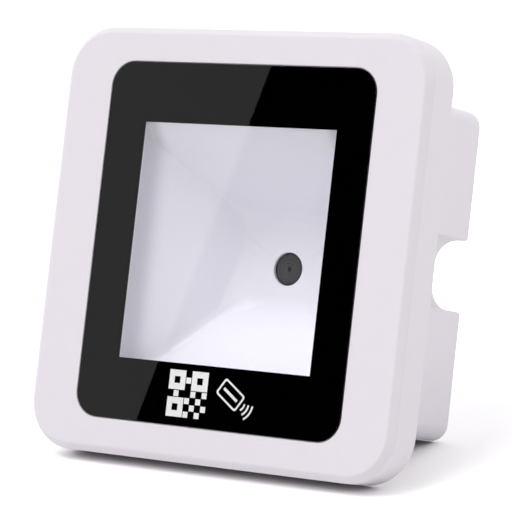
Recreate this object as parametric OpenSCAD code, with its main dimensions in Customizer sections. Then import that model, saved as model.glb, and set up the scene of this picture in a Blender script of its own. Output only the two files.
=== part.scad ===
// Wall-mounted code and card reader that fits a square switch box.
// X runs across the width, Y runs from the front into the wall, and Z is up.
// The origin is the middle of the wall plane, where the bezel's rim meets the wall.

/* [Front bezel] */
// Width of the bezel
bezel_w = 86; // [85:0.5:92]
// Height of the bezel
bezel_h = 86; // [85:0.5:92]
// How far the bezel stands out from the wall
bezel_d = 8.8; // [8.4:0.1:12]
// Radius of the bezel's corners
bezel_corner_r = 10; // [7:0.5:13]
// Chamfer around the bezel's front edge
bezel_chamfer = 1.3; // [0.6:0.1:2]
// Thickness of the bezel's skirt
bezel_wall = 2.2; // [1.8:0.1:2.5]
// Thickness of the bezel's face
face_t = 2.5; // [2:0.1:3]
// Width of the bezel's face on both sides of the glass
face_side_w = 11.7; // [10.5:0.1:13]
// Width of the bezel's face above and below the glass
face_end_w = 7; // [6.5:0.1:8.5]
// Thickness of the wall around the glass seat
seat_wall = 1.6; // [1.2:0.1:1.8]
// Thickness of the ledge that carries the glass
ledge_t = 1.5; // [1.2:0.1:2]
// Width of each snap hook
hook_w = 10; // [6:0.5:14]
// How far each snap hook reaches in from the skirt
hook_reach = 1; // [0.7:0.1:1.3]
// Distance of the snap hooks from the middle plane
hook_x = 22; // [14:0.5:24]

/* [Glass panel] */
// Thickness of the glass
glass_t = 1.7; // [1.5:0.1:2.2]
// Radius of the glass corners
glass_corner_r = 5; // [3:0.5:7]
// Clearance between the glass and its recess
glass_gap = 0.15; // [0.1:0.05:0.3]
// Width of the printed border on both sides of the window
border_side_w = 8.55; // [8:0.05:11]
// Width of the printed border above the window
border_top_w = 11.95; // [11.5:0.05:15]
// Width of the printed border below the window
border_low_w = 12.3; // [11.5:0.05:15]
// Thickness of the printed layer
print_t = 0.2; // [0.1:0.05:0.3]
// Thickness of the adhesive tape
tape_t = 0.3; // [0.2:0.05:0.5]
// Distance of the tape from the edges that it follows
tape_margin = 0.8; // [0.4:0.1:1.2]

/* [Printed signs] */
// Height of the signs' middle above the middle of the lower border
sign_lift = 0.2; // [-1:0.1:1]
// Sideways place of the code sign
code_sign_x = -5.1; // [-10:0.1:-4]
// Size of the code sign
code_sign_w = 9.4; // [7:0.1:9.6]
// Sideways place of the card sign
card_sign_x = 6.2; // [5.5:0.1:12]
// Length of the card in the card sign
card_sign_l = 6; // [5:0.1:6.5]
// Height of the card in the card sign
card_sign_h = 3.8; // [3.2:0.1:4.2]
// Radius of the card's corners
card_corner_r = 0.6; // [0.4:0.05:0.8]
// Distance of the card's middle from the sign's middle
card_shift = 1.4; // [1.2:0.1:1.6]
// Length of the stripe on the card
stripe_l = 4; // [3:0.1:4.4]
// Width of the stripe on the card
stripe_w = 0.6; // [0.4:0.1:1]
// Radius of the innermost wave
wave_r = 1.5; // [1.3:0.1:1.8]
// Distance between the waves
wave_pitch = 0.95; // [0.8:0.05:1.1]
// Tilt of the card sign, in degrees
sign_tilt = 35; // [20:1:45]
// Line width of the card sign
sign_line_w = 0.4; // [0.3:0.05:0.6]

/* [Reflector] */
// How far the funnel's sides stand outside the window
mouth_gap = 0.15; // [0:0.05:0.6]
// Depth of the funnel's mouth below the window's lower edge
mouth_drop = 6; // [4:0.1:6.4]
// Length of the straight part of the funnel's sides
skirt_l = 3.3; // [1:0.1:4]
// How far the funnel's top comes down along that straight part
lip_drop = 4.1; // [1.5:0.1:5]
// How far the funnel's bottom comes up along that straight part
skirt_rise = 1.5; // [0.5:0.1:3]
// Width of the funnel's end plate
throat_w = 21.6; // [16:0.2:23]
// Height of the end plate above the lens axis
throat_up = 10.3; // [7:0.1:12]
// Depth of the end plate below the lens axis
throat_down = 7.4; // [6:0.1:9]
// Height of the bevel along the funnel's lower corners
corner_cut = 1.5; // [0.8:0.1:2.5]
// Height of that bevel at the end plate
throat_cut = 11; // [6:0.1:12]
// Thickness of the funnel's end plate
throat_t = 0.8; // [0.7:0.05:1.2]
// Width of the funnel's rim
rim_w = 1.3; // [1:0.1:1.6]
// Thickness of the foam gasket on the rim
gasket_t = 0.6; // [0.4:0.1:1]
// Clearance around the funnel where it passes through the bezel's seat
funnel_gap = 0.4; // [0.2:0.1:0.6]
// Thickness of the funnel's mounting flange
funnel_flange_t = 1.4; // [1:0.1:2]
// Depth of the mounting flange's seat behind the wall plane
funnel_seat_d = 2; // [1.6:0.1:3]

/* [Rear housing] */
// Depth of the tub behind the wall plane
body_d = 29.2; // [27:0.1:40]
// Radius of the tub's corners
body_corner_r = 3.5; // [2.5:0.1:5]
// Radius of the tub's inside corners
pocket_corner_r = 1.5; // [1:0.1:2.5]
// Thickness of the tub's side walls
housing_wall = 2; // [1.6:0.1:2.4]
// Thickness of the tub's rear wall
rear_wall = 2; // [1.6:0.1:3]
// Thickness of the flange that lies on the wall
flange_t = 2.2; // [2:0.1:2.6]
// How far the flange stands out around the tub
flange_overhang = 7.25; // [6.5:0.05:7.75]
// Clearance between the flange and the bezel's skirt
cover_gap = 0.3; // [0.2:0.05:0.5]
// Depth of each side groove
groove_d = 7; // [6:0.1:8]
// Height of each side groove
groove_h = 14.3; // [11:0.1:16]
// Radius of each groove's inner corners
groove_r = 5; // [2:0.1:5.4]

/* [Wall screws] */
// Distance of each wall screw from the tub's side
screw_edge = 3.25; // [2.75:0.05:4]
// Diameter of each wall screw hole
screw_hole_d = 4.5; // [4.2:0.1:5]

/* [Camera] */
// Height of the lens axis
lens_z = -2; // [-2.6:0.1:-1]
// Diameter of the hole in the funnel's end plate
lens_hole_d = 6.8; // [5.6:0.1:7.6]
// Diameter of the lens barrel
barrel_d = 8; // [7:0.1:9]
// Length of the lens barrel behind its nose
barrel_l = 3.7; // [3.6:0.05:5]
// Length of the nose that stands in the funnel's hole
nose_l = 0.5; // [0.4:0.05:0.6]
// Clearance between the nose and the funnel's hole
nose_gap = 0.2; // [0.1:0.05:0.4]
// Diameter of the aperture in the nose
stop_d = 0.9; // [0.6:0.1:2]
// Thickness of the nose's front wall
stop_t = 0.6; // [0.4:0.05:0.8]
// Diameter of the front lens
front_lens_d = 3.6; // [3:0.1:3.8]
// Thickness of the front lens at its edge
front_lens_t = 1; // [0.8:0.1:1.2]
// Bulge of the front lens
front_lens_bulge = 0.35; // [0.2:0.05:0.4]
// Diameter of the rear lens
rear_lens_d = 4.6; // [4:0.1:5.4]
// Thickness of the rear lens at its edge
rear_lens_t = 0.8; // [0.6:0.1:1]
// Bulge of the rear lens
rear_lens_bulge = 0.4; // [0.2:0.05:0.5]
// Gap between the two lenses
lens_space = 0.5; // [0.3:0.05:0.6]
// Width of the square lens mount
lens_mount_w = 12; // [11:0.1:14]
// Height of the lens mount above the board
lens_mount_t = 4.6; // [4.4:0.1:5]
// Thickness of the filter glass
filter_t = 0.3; // [0.2:0.05:0.4]
// Thickness of the shelf under the filter glass
shelf_t = 0.35; // [0.3:0.05:0.45]
// Width of the square opening in that shelf
shelf_opening_w = 4.4; // [3.6:0.1:4.8]
// Width of the image sensor
sensor_w = 6.5; // [5.6:0.1:7]
// Thickness of the image sensor
sensor_t = 1; // [0.8:0.05:1.1]

/* [Circuit boards] */
// Thickness of the main board
board_t = 1.6; // [1.2:0.1:2]
// Gap between the main board and the tub's walls
board_gap = 0.6; // [0.4:0.1:1]
// Height of the bosses under the main board
standoff_l = 3.2; // [3:0.1:4]
// Thickness of the antenna board
antenna_t = 1; // [0.8:0.1:1.2]
// Gap between the antenna board and the walls beside it
antenna_gap = 0.3; // [0.2:0.05:0.4]
// Thickness of the antenna's copper
copper_t = 0.1; // [0.05:0.01:0.15]
// Width of the antenna's track
track_w = 0.28; // [0.2:0.01:0.34]
// Distance between the antenna's turns
track_pitch = 0.5; // [0.4:0.01:0.54]
// Thickness of the antenna's ribbon
ribbon_t = 0.3; // [0.2:0.05:0.4]
// Width of the antenna's ribbon
ribbon_w = 5; // [4:0.5:7]
// Distance of the ribbon from the tub's lower wall
ribbon_lift = 0.35; // [0.3:0.05:0.8]
// Clearance around the ribbon where it passes the funnel's flange
ribbon_room = 1; // [0.5:0.1:1.5]

/* [Components] */
// Width of the decoder chip
processor_w = 12; // [8:0.5:13]
// Width of the memory chip
memory_w = 8; // [6:0.5:9]
// Length of the memory chip
memory_l = 11; // [8:0.5:12]
// Width of the card reader chip
radio_w = 6; // [4:0.5:7]
// Height of the chips
chip_t = 1.2; // [0.8:0.1:1.6]
// Distance of the chips from the board's upper and lower edges
chip_edge = 5; // [4.8:0.1:5.4]
// Length of the clock crystal
crystal_l = 3.2; // [2:0.1:4]
// Width of the clock crystal
crystal_w = 2.5; // [1.6:0.1:3.2]
// Height of the clock crystal
crystal_t = 0.8; // [0.6:0.1:1.2]
// Width of the power supply's coil
coil_w = 6; // [4:0.5:7]
// Height of the power supply's coil
coil_t = 3; // [2:0.1:4]
// Diameter of the capacitors
capacitor_d = 5; // [4:0.1:5.6]
// Height of the capacitors
capacitor_t = 5.4; // [4:0.1:5.6]
// Distance of the capacitors from the board's edge
capacitor_edge = 3.5; // [1:0.1:4]
// Gap between neighbouring capacitors
capacitor_space = 0.8; // [0.4:0.1:1.5]
// Diameter of the sounder
buzzer_d = 9; // [7:0.1:9.6]
// Height of the sounder
buzzer_t = 4; // [2.5:0.1:5]
// Distance of the sounder from the board's edge
buzzer_edge = 1.5; // [0.5:0.1:3]
// Diameter of the hole in the sounder
sound_hole_d = 1.5; // [1:0.1:2.5]
// Width of each light emitter
emitter_w = 2.8; // [2:0.1:3.2]
// Length of each light emitter
emitter_l = 3.5; // [2.8:0.1:4]
// Height of each light emitter
emitter_t = 0.8; // [0.6:0.1:1.5]
// Distance of the light emitters from the lens mount
emitter_offset = 3; // [2:0.1:3.4]
// Width of the antenna's socket
antenna_socket_w = 8; // [7.5:0.1:10]
// Length of the antenna's socket along the ribbon
antenna_socket_h = 4; // [3:0.1:5]
// Height of the antenna's socket above the board
antenna_socket_t = 2; // [1.6:0.1:2.5]

/* [Cable socket] */
// Width of the cable socket
socket_w = 18; // [16:0.1:22]
// Height of the cable socket
socket_h = 7; // [6.6:0.1:9]
// Thickness of the cable socket's walls
socket_wall = 1.1; // [0.8:0.1:1.4]
// Thickness of the cable socket's floor
socket_floor_t = 1; // [0.8:0.1:1.4]
// Clearance around the cable socket in the rear wall
socket_gap = 0.3; // [0.2:0.05:0.5]
// Distance of the cable socket's middle from the board's lower edge
socket_edge = 12.65; // [10.65:0.05:22]
// Distance between the contact pins
pin_pitch = 2.5; // [2:0.05:2.54]
// Thickness of each contact pin
pin_w = 0.64; // [0.5:0.02:0.8]
// Length of the contact pins above the socket's floor
pin_l = 3.2; // [2.4:0.1:3.6]

/* [Screws] */
// Diameter of the small screws
small_screw_d = 2; // [1.6:0.1:2.4]
// Length of the small screws below the head
small_screw_l = 4.8; // [4:0.1:5.2]
// Diameter of the small screws' heads
small_head_d = 3.8; // [3.2:0.1:4.2]
// Height of the small screws' heads
small_head_t = 1.4; // [1:0.1:1.8]
// Radius of the funnel's bosses
funnel_boss_r = 3.2; // [2.6:0.1:3.4]
// Radius of the main board's bosses
board_boss_r = 2.6; // [2.2:0.1:3]

/* [Hidden] */
$fn = 64;
// A cut runs this far past the face that it opens
over = 1;
// Two parts of one moulding run this far into each other
weld = 0.15;
// Radial play of a screw in its pilot hole
thread_play = 0.02;
// Radial play of a screw in a clearance hole
hole_play = 0.2;
// Radial play of the barrel and the filter in the lens mount
barrel_play = 0.05;
// Play between a socket's parts
fine_gap = 0.1;
// Number of contact pins
pin_count = 6;
// Number of turns of the antenna
turns = 4;
// Distance of the outermost turn from the antenna board's edge
antenna_edge = 0.25;
// Half the length of the slanted track between two turns
jog_x = 1.5;
// Number of cells along each side of the code sign
code_cells = 7;
// Number of cells along each side of a corner frame
frame_cells = 3;
// Share of a cell's pitch that is printed
cell_fill = 0.88;
// Number of waves beside the card
wave_count = 3;
// Half the angle that the waves span
wave_angle = 27;
// Distance of the waves' centre inside the card's edge
wave_inset = 0.8;
// Distance of the hooks' backs from the wall plane
hook_set = 0.1;
// Length of the hooks' level tips
hook_tip_l = 0.5;
// Width of the lower corners' bevel for each millimetre of its height
cut_width = 0.32;
// Share of the sloping part after which that bevel widens toward the end plate
cut_start = 0.8;
// Distance of the front lens behind the nose's front wall
lens_recess = 0.1;
// Distance of the board's bosses from the board's edges
boss_edge = 0.2;
// Room below the tip of a board screw
pilot_room = 0.2;

// Planes of the front cover, from the front
front_y = -bezel_d;
glass_back_y = front_y + glass_t;
print_back_y = glass_back_y + print_t;
ledge_y = print_back_y + tape_t;
ledge_back_y = ledge_y + ledge_t;
face_back_y = front_y + face_t;
antenna_back_y = face_back_y + antenna_t;
rim_y = print_back_y + gasket_t;
hook_back_y = -hook_set;
hook_front_y = -flange_t / 2 - hook_set;
hook_ramp_y = hook_front_y + hook_tip_l;

// Planes of the rear part, from the back
rear_inner_y = body_d - rear_wall;
board_back_y = rear_inner_y - standoff_l;
board_y = board_back_y - board_t;
sensor_y = board_y - sensor_t;
lens_mount_y = board_y - lens_mount_t;
shelf_y = sensor_y - fine_gap - shelf_t;
filter_y = shelf_y - filter_t;
barrel_back_y = filter_y;
barrel_y = barrel_back_y - barrel_l;
throat_back_y = barrel_y - fine_gap;
throat_y = throat_back_y - throat_t;
nose_y = barrel_y - nose_l;
stop_back_y = nose_y + stop_t;
front_lens_back_y = stop_back_y + lens_recess + front_lens_bulge + front_lens_t;
rear_lens_y = front_lens_back_y + lens_space;
funnel_flange_y = funnel_seat_d - funnel_flange_t;

// Outlines of the front cover
recess_w = bezel_w - 2 * face_side_w;
recess_h = bezel_h - 2 * face_end_w;
glass_w = recess_w - 2 * glass_gap;
glass_h = recess_h - 2 * glass_gap;
window_w = glass_w - 2 * border_side_w;
window_low = border_low_w - glass_h / 2;
window_high = glass_h / 2 - border_top_w;
sign_z = sign_lift + (border_low_w - glass_h) / 2;
skirt_in_w = bezel_w - 2 * bezel_wall;
skirt_in_h = bezel_h - 2 * bezel_wall;
skirt_in_r = bezel_corner_r - bezel_wall;
recess_r = glass_corner_r + glass_gap;
seat_w = recess_w + 2 * seat_wall;
seat_h = recess_h + 2 * seat_wall;
seat_r = recess_r + seat_wall;
flange_w = skirt_in_w - 2 * cover_gap;
flange_h = skirt_in_h - 2 * cover_gap;
flange_r = skirt_in_r - cover_gap;

// Sections of the funnel, seen along Y: half width, low and high z
mouth_x = window_w / 2 + mouth_gap;
mouth_low = window_low - mouth_drop;
mouth_high = window_high + mouth_gap;
throat_low = lens_z - throat_down;
throat_high = lens_z + throat_up;
knee_y = rim_y + skirt_l;
knee_low = mouth_low + skirt_rise;
knee_high = mouth_high - lip_drop;
cut_y = knee_y + (throat_y - knee_y) * cut_start;
cut_x = mouth_x + (throat_w / 2 - mouth_x) * cut_start;
cut_low = knee_low + (throat_low - knee_low) * cut_start;
cut_high = knee_high + (throat_high - knee_high) * cut_start;

// Places inside the tub
body_w = flange_w - 2 * flange_overhang;
body_h = flange_h - 2 * flange_overhang;
screw_x = body_w / 2 - screw_edge;
pocket_x = body_w / 2 - housing_wall;
pocket_z = body_h / 2 - housing_wall;
board_x = pocket_x - groove_d - board_gap;
board_z = pocket_z - board_gap;
funnel_boss_x = pocket_x - funnel_boss_r + weld;
funnel_boss_z = pocket_z - funnel_boss_r + weld;
board_boss_x = board_x - board_boss_r - boss_edge;
board_boss_z = board_z - board_boss_r - boss_edge;
emitter_x = lens_mount_w / 2 + emitter_offset;
socket_z = socket_edge - board_z;
chip_x = board_x / 2;
chip_top = board_z - chip_edge;
crystal_x = (processor_w - memory_w) / 4;
capacitor_x = board_x - capacitor_d / 2 - capacitor_edge;
buzzer_x = -board_x + buzzer_d / 2 + buzzer_edge;
ribbon_z = -pocket_z + ribbon_lift + ribbon_t / 2;
antenna_low = -skirt_in_h / 2 + antenna_gap;
ribbon_end_y = board_y - antenna_socket_t / 2;
antenna_socket_z = ribbon_z + ribbon_t + antenna_socket_h / 2 + fine_gap;

// Colours
white = [0.92, 0.91, 0.93];
funnel_white = [0.9, 0.89, 0.93];
ink_black = [0.03, 0.03, 0.03];
board_green = [0.05, 0.3, 0.16];
chip_black = [0.1, 0.1, 0.11];
steel = [0.7, 0.7, 0.72];

// A flat outline in X and Z, made solid from y0 to y1
module along_y(y0, y1) {
  translate([0, y1, 0])
    rotate([90, 0, 0])
      linear_extrude(y1 - y0)
        children();
}

module rod(d, y0, y1) {
  translate([0, y1, 0])
    rotate([90, 0, 0])
      cylinder(d = d, h = y1 - y0);
}

// A box seated on y0, centred on x and z
module block(x, z, w, h, y0, y1) {
  translate([x - w / 2, y0, z - h / 2])
    cube([w, y1 - y0, h]);
}

module at_corners(x, z) {
  for (sx = [-1, 1])
    for (sz = [-1, 1])
      translate([sx * x, 0, sz * z])
        children();
}

module rounded_rect(w, h, r) {
  square([w - 2 * r, h], center = true);
  square([w, h - 2 * r], center = true);
  for (sx = [-1, 1])
    for (sz = [-1, 1])
      translate([sx * (w / 2 - r), sz * (h / 2 - r)])
        circle(r);
}

// A slab with rounded corners and a chamfer around its front edge
module chamfered_slab(w, h, r, c, y0, y1) {
  along_y(y0 + c, y1)
    rounded_rect(w, h, r);
  at_corners(w / 2 - r, h / 2 - r)
    translate([0, y0 + c, 0])
      rotate([90, 0, 0])
        cylinder(r1 = r, r2 = r - c, h = c);
  translate([-(w / 2 - r), 0, 0])
    rotate([90, 0, 90])
      linear_extrude(w - 2 * r)
        chamfer_section(h, c, y0);
  translate([0, 0, -(h / 2 - r)])
    linear_extrude(h - 2 * r)
      rotate(90)
        mirror([0, 1])
          chamfer_section(w, c, y0);
}

// Section of a chamfered edge strip: depth along the first axis, breadth along the second
module chamfer_section(breadth, c, y0) {
  polygon([
    [y0, c - breadth / 2], [y0 + c, -breadth / 2],
    [y0 + c, breadth / 2], [y0, breadth / 2 - c]
  ]);
}

// A closed solid through rectangular sections with bevelled lower corners,
// each [y, half width, low z, high z, height of the bevels]
module loft(sections) {
  points = [
    for (s = sections)
      for (p = [
        [s[1], s[3]], [-s[1], s[3]], [-s[1], s[2] + s[4]], [s[4] * cut_width - s[1], s[2]],
        [s[1] - s[4] * cut_width, s[2]], [s[1], s[2] + s[4]]
      ])
        [p[0], s[0], p[1]]
  ];
  n = 6;
  last = n * (len(sections) - 1);
  sides = [
    for (i = [0 : len(sections) - 2])
      for (k = [0 : n - 1])
        [n * i + k, n * i + (k + 1) % n, n * (i + 1) + (k + 1) % n, n * (i + 1) + k]
  ];
  caps = [[for (k = [0 : n - 1]) n - 1 - k], [for (k = [0 : n - 1]) last + k]];
  polyhedron(points, concat(caps, sides));
}

// The rectangle of the funnel's mouth, grown on all sides
module mouth_rect(grow) {
  translate([-mouth_x - grow, mouth_low - grow])
    square([2 * (mouth_x + grow), mouth_high - mouth_low + 2 * grow]);
}

// One side groove, on the right, grown on its three closed sides
module groove_outline(grow) {
  r = groove_r + grow;
  x_in = body_w / 2 - groove_d - grow;
  half = groove_h / 2 + grow;
  translate([x_in + r, -half])
    square([groove_d + grow - r + over, 2 * half]);
  translate([x_in, -half + r])
    square([groove_d + grow + over, 2 * (half - r)]);
  for (s = [-1, 1])
    translate([x_in + r, s * (half - r)])
      circle(r);
}

module both_grooves(grow) {
  groove_outline(grow);
  mirror([1, 0])
    groove_outline(grow);
}

module body_outline() {
  difference() {
    rounded_rect(body_w, body_h, body_corner_r);
    both_grooves(0);
  }
}

// The tub's inside, less a gap all round
module pocket_outline(gap) {
  inset = housing_wall + gap;
  difference() {
    rounded_rect(body_w - 2 * inset, body_h - 2 * inset, pocket_corner_r - gap);
    both_grooves(inset);
  }
}

module code_cell(i, k, n) {
  pitch = code_sign_w / code_cells;
  side = (n - 1 + cell_fill) * pitch;
  translate([(i + n / 2 - code_cells / 2) * pitch, (k + n / 2 - code_cells / 2) * pitch])
    square(side, center = true);
}

module code_frame(i, k) {
  pitch = code_sign_w / code_cells;
  middle = (frame_cells - code_cells) / 2;
  difference() {
    code_cell(i, k, frame_cells);
    translate([(i + middle) * pitch, (k + middle) * pitch])
      square(pitch, center = true);
  }
}

// Square code: three corner frames and a few single cells
module code_sign() {
  for (c = [[0, 0], [0, 4], [4, 4]])
    code_frame(c[0], c[1]);
  for (c = [[3, 0], [5, 0], [4, 1], [6, 1], [3, 2], [5, 2], [1, 3], [4, 3], [6, 3], [3, 5]])
    code_cell(c[0], c[1], 1);
}

// Card with waves beside it
module card_sign() {
  rotate(-sign_tilt) {
    translate([-card_shift, 0])
      difference() {
        rounded_rect(card_sign_l, card_sign_h, card_corner_r);
        rounded_rect(card_sign_l - 2 * sign_line_w, card_sign_h - 2 * sign_line_w,
          card_corner_r - sign_line_w / 2);
      }
    translate([-card_shift, 0])
      square([stripe_l, stripe_w], center = true);
    translate([card_sign_l / 2 - card_shift - wave_inset, 0])
      for (k = [0 : wave_count - 1])
        wave(wave_r + k * wave_pitch);
  }
}

module wave(r) {
  reach = 2 * (r + sign_line_w);
  intersection() {
    difference() {
      circle(r + sign_line_w);
      circle(r);
    }
    polygon([[0, 0], [reach, -reach * tan(wave_angle)], [reach, reach * tan(wave_angle)]]);
  }
}

module signs() {
  translate([code_sign_x, sign_z])
    code_sign();
  translate([card_sign_x, sign_z])
    card_sign();
}

// Opening in the bezel's seat through which the funnel's rim passes
module seat_opening(grow) {
  mouth_rect(rim_w + funnel_gap + grow);
}

module hook(top) {
  reach = hook_reach + weld;
  rotate([0, top ? 0 : 180, 0])
    translate([-hook_w / 2, 0, skirt_in_h / 2 - hook_reach])
      rotate([90, 0, 90])
        linear_extrude(hook_w)
          polygon([[hook_front_y, 0], [hook_ramp_y, 0], [hook_back_y, reach], [hook_front_y, reach]]);
}

module front_bezel() {
  color(white) {
    difference() {
      union() {
        difference() {
          chamfered_slab(bezel_w, bezel_h, bezel_corner_r, bezel_chamfer, front_y, 0);
          along_y(face_back_y, over)
            rounded_rect(skirt_in_w, skirt_in_h, skirt_in_r);
        }
        along_y(face_back_y - weld, ledge_back_y)
          rounded_rect(seat_w, seat_h, seat_r);
      }
      along_y(front_y - over, ledge_y)
        rounded_rect(recess_w, recess_h, recess_r);
      along_y(front_y, ledge_back_y + over)
        seat_opening(0);
    }
    for (x = [-hook_x, hook_x])
      for (top = [true, false])
        translate([x, 0, 0])
          hook(top);
  }
}

module glass_panel() {
  color([0.85, 0.9, 0.92, 0.35])
    along_y(front_y, glass_back_y)
      rounded_rect(glass_w, glass_h, glass_corner_r);
}

module border_print() {
  color(ink_black)
    along_y(glass_back_y, print_back_y)
      difference() {
        rounded_rect(glass_w, glass_h, glass_corner_r);
        translate([-window_w / 2, window_low])
          square([window_w, window_high - window_low]);
        signs();
      }
}

module icon_print() {
  color([0.97, 0.97, 0.97])
    along_y(glass_back_y, print_back_y)
      signs();
}

module glass_tape() {
  color([0.2, 0.2, 0.2])
    along_y(print_back_y, ledge_y)
      difference() {
        rounded_rect(glass_w - 2 * tape_margin, glass_h - 2 * tape_margin, glass_corner_r - tape_margin);
        seat_opening(tape_margin);
      }
}

module window_gasket() {
  color([0.88, 0.88, 0.9])
    along_y(print_back_y, rim_y)
      difference() {
        mouth_rect(rim_w);
        mouth_rect(0);
      }
}

module reflector() {
  color(funnel_white)
    difference() {
      union() {
        loft([
          [rim_y, mouth_x + rim_w, mouth_low - rim_w, mouth_high + rim_w, corner_cut],
          [knee_y, mouth_x + rim_w, knee_low - rim_w, knee_high + rim_w, corner_cut],
          [cut_y, cut_x + rim_w, cut_low - rim_w, cut_high + rim_w, corner_cut],
          [throat_back_y, throat_w / 2 + rim_w, throat_low - rim_w, throat_high + rim_w, throat_cut]
        ]);
        along_y(funnel_flange_y, funnel_seat_d)
          pocket_outline(cover_gap);
      }
      loft([
        [rim_y - over, mouth_x, mouth_low, mouth_high, corner_cut],
        [rim_y, mouth_x, mouth_low, mouth_high, corner_cut],
        [knee_y, mouth_x, knee_low, knee_high, corner_cut],
        [cut_y, cut_x, cut_low, cut_high, corner_cut],
        [throat_y, throat_w / 2, throat_low, throat_high, throat_cut]
      ]);
      translate([0, 0, lens_z])
        rod(lens_hole_d, throat_y - over, throat_back_y + over);
      at_corners(funnel_boss_x, funnel_boss_z)
        rod(small_screw_d + 2 * hole_play, funnel_flange_y - over, funnel_seat_d + over);
      block(0, -pocket_z, ribbon_w + 2 * ribbon_room, 2 * (ribbon_lift + ribbon_t + ribbon_room),
        funnel_flange_y - over, funnel_seat_d + over);
    }
}

module small_screw(y) {
  rod(small_head_d, y - small_head_t, y);
  rod(small_screw_d, y - weld, y + small_screw_l);
}

module reflector_screws() {
  color(steel)
    at_corners(funnel_boss_x, funnel_boss_z)
      small_screw(funnel_flange_y);
}

module boss(r, y) {
  rod(2 * r, y, rear_inner_y + weld);
}

module pilot(y, depth) {
  rod(small_screw_d + 2 * thread_play, y - over, y + depth);
}

module hook_pockets() {
  for (x = [-hook_x, hook_x])
    for (s = [-1, 1])
      block(x, s * flange_h / 2, hook_w + 2 * cover_gap, 2 * hook_reach, hook_front_y - fine_gap, over);
}

module rear_housing() {
  color(white)
    difference() {
      union() {
        difference() {
          union() {
            along_y(-flange_t, 0)
              rounded_rect(flange_w, flange_h, flange_r);
            along_y(-weld, body_d)
              body_outline();
          }
          along_y(-flange_t - over, rear_inner_y)
            pocket_outline(0);
        }
        at_corners(funnel_boss_x, funnel_boss_z)
          boss(funnel_boss_r, funnel_seat_d);
        at_corners(board_boss_x, board_boss_z)
          boss(board_boss_r, board_back_y);
      }
      at_corners(funnel_boss_x, funnel_boss_z)
        pilot(funnel_seat_d, small_screw_l);
      at_corners(board_boss_x, board_boss_z)
        pilot(board_back_y, small_screw_l - board_t + pilot_room);
      for (s = [-1, 1])
        translate([s * screw_x, 0, 0])
          rod(screw_hole_d, -flange_t - over, over);
      block(0, socket_z, socket_w + 2 * socket_gap, socket_h + 2 * socket_gap,
        rear_inner_y - over, body_d + over);
      hook_pockets();
    }
}

module antenna_outline() {
  difference() {
    rounded_rect(skirt_in_w - 2 * antenna_gap, skirt_in_h - 2 * antenna_gap, skirt_in_r - antenna_gap);
    rounded_rect(seat_w + 2 * antenna_gap, seat_h + 2 * antenna_gap, seat_r + antenna_gap);
  }
}

// One turn of the antenna, open at the middle of its lower side
module coil_turn(t) {
  w = skirt_in_w - 2 * (antenna_gap + antenna_edge + t * track_pitch);
  h = skirt_in_h - 2 * (antenna_gap + antenna_edge + t * track_pitch);
  r = skirt_in_r - antenna_gap - antenna_edge - t * track_pitch;
  difference() {
    rounded_rect(w, h, r);
    rounded_rect(w - 2 * track_w, h - 2 * track_w, r - track_w);
    translate([0, -h / 2])
      square([2 * jog_x, 2 * track_pitch], center = true);
  }
}

// Slanted track from one turn's end to the start of the next turn inside it
module coil_jog(t) {
  z0 = antenna_low + antenna_edge + t * track_pitch;
  z1 = z0 + track_pitch;
  polygon([
    [-jog_x - weld, z0], [-jog_x, z0], [jog_x, z1], [jog_x + weld, z1],
    [jog_x + weld, z1 + track_w], [jog_x, z1 + track_w],
    [-jog_x, z0 + track_w], [-jog_x - weld, z0 + track_w]
  ]);
}

module coil_outline() {
  for (t = [0 : turns - 1])
    coil_turn(t);
  for (t = [0 : turns - 2])
    coil_jog(t);
}

module antenna_board() {
  color(board_green)
    difference() {
      along_y(face_back_y, antenna_back_y)
        antenna_outline();
      along_y(antenna_back_y - copper_t, antenna_back_y + over)
        coil_outline();
    }
}

module antenna_coil() {
  color([0.75, 0.45, 0.2])
    along_y(antenna_back_y - copper_t, antenna_back_y)
      coil_outline();
}

// A strip of even thickness along a row of points in Y and Z
module strip(points, t) {
  for (i = [0 : len(points) - 2]) {
    run = points[i + 1] - points[i];
    translate(points[i])
      rotate(atan2(run[1], run[0]))
        translate([0, -t / 2])
          square([norm(run), t]);
  }
  for (i = [1 : len(points) - 2])
    translate(points[i])
      circle(d = t);
}

// The ribbon lies on the antenna board, steps over the glass seat and runs back along the tub's floor
module antenna_ribbon() {
  board_face = antenna_back_y + ribbon_t / 2;
  seat_back = ledge_back_y + fine_gap + ribbon_t;
  seat_low = -seat_h / 2;
  color([0.85, 0.6, 0.15])
    translate([-ribbon_w / 2, 0, 0])
      rotate([90, 0, 90])
        linear_extrude(ribbon_w)
          strip([
            [board_face, antenna_low + antenna_edge],
            [board_face, seat_low - antenna_gap - ribbon_t],
            [seat_back, seat_low],
            [seat_back, ribbon_z],
            [ribbon_end_y, ribbon_z],
            [ribbon_end_y, antenna_socket_z]
          ], ribbon_t);
}

module antenna_socket() {
  low = antenna_socket_z - antenna_socket_h / 2;
  color([0.9, 0.88, 0.8])
    difference() {
      block(0, antenna_socket_z, antenna_socket_w, antenna_socket_h, board_y - antenna_socket_t, board_y);
      translate([-ribbon_w / 2 - fine_gap, ribbon_end_y - ribbon_t / 2 - fine_gap / 2, low - over])
        cube([ribbon_w + 2 * fine_gap, ribbon_t + fine_gap, antenna_socket_h / 2 + over + fine_gap]);
    }
}

module main_board() {
  color(board_green)
    difference() {
      block(0, 0, 2 * board_x, 2 * board_z, board_y, board_back_y);
      at_corners(board_boss_x, board_boss_z)
        rod(small_screw_d + 2 * hole_play, board_y - over, board_back_y + over);
    }
}

module board_screws() {
  color(steel)
    at_corners(board_boss_x, board_boss_z)
      small_screw(board_y);
}

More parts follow.
